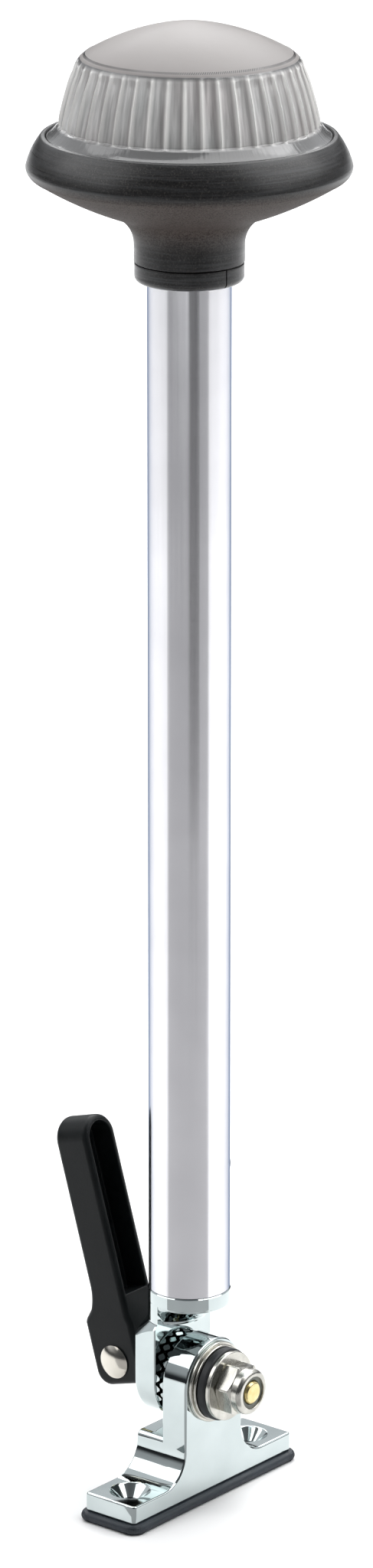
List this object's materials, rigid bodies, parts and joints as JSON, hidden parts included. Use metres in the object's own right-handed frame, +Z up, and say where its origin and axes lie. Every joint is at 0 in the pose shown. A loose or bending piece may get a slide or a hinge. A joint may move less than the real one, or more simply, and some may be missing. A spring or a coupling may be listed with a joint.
{
  "type": "folding navigation light",
  "caption": "All-round navigation light on a tubular pole that folds at a toothed deck base with a cam lever.",
  "frame": {"origin": "centre of the gasket's underside, the face that sits on the deck", "axes": "+Z up the pole; X along the pivot bolt with the nut at +X; Y along the base"},
  "size_m": [0.0991, 0.0976, 0.4683],
  "materials": {
    "chrome": "polished",
    "rubber": "matte",
    "stainless": "turned",
    "brass": "turned",
    "nylon": "satin",
    "lever_black": "satin",
    "pole_alu": "polished",
    "housing_black": "satin",
    "lens_clear": "ribbed clear",
    "white_plastic": "moulded",
    "nickel": "plated",
    "phenolic": "matte",
    "bulb_glass": "clear",
    "tungsten": "drawn",
    "red_insulation": "satin",
    "black_insulation": "satin"
  },
  "bodies": {
    "base": {"base_casting": "chrome", "base_gasket": "rubber"},
    "bolt": {"pivot_bolt": "brass", "lock_nut": "stainless", "nut_insert": "nylon", "outer_washer": "stainless", "rubber_washer": "rubber", "backing_washer": "stainless", "thrust_washer": "stainless"},
    "cam_lever": {"lever": "lever_black", "lever_pin": "stainless"},
    "mast": {"knuckle": "chrome", "pole": "pole_alu", "pole_rivet": "pole_alu", "wire_grommet": "rubber", "lead_red": "red_insulation", "lead_black": "black_insulation", "neck_ring": "housing_black", "head_housing": "housing_black", "neck_screw": "stainless", "lens_seal": "rubber", "holder_plate": "white_plastic", "plate_screws": "stainless", "lamp_socket": "nickel", "socket_insulator": "phenolic", "contact_left": "brass", "contact_right": "brass", "bulb_cap": "brass", "bulb_glass": "bulb_glass", "filament": "tungsten"},
    "lens_body": {"lens": "lens_clear"}
  },
  "joints": [
    {"name": "fold", "type": "hinge", "parent": "base", "child": "bolt", "pos_m": [0, 0, 0.0391], "axis": [1, 0, 0], "range_deg": [-90, 90]},
    {"name": "clutch_slide", "type": "slide", "parent": "bolt", "child": "mast", "axis": [1, 0, 0], "range_m": [0, 0.0014]},
    {"name": "lever_swing", "type": "hinge", "parent": "bolt", "child": "cam_lever", "pos_m": [-0.0244, 0, 0.0391], "axis": [0, -1, 0], "range_deg": [-12, 80]},
    {"name": "lens_twist", "type": "hinge", "parent": "mast", "child": "lens_body", "pos_m": [0, 0, 0.43], "axis": [0, 0, 1], "range_deg": [0, 25]}
  ]
}
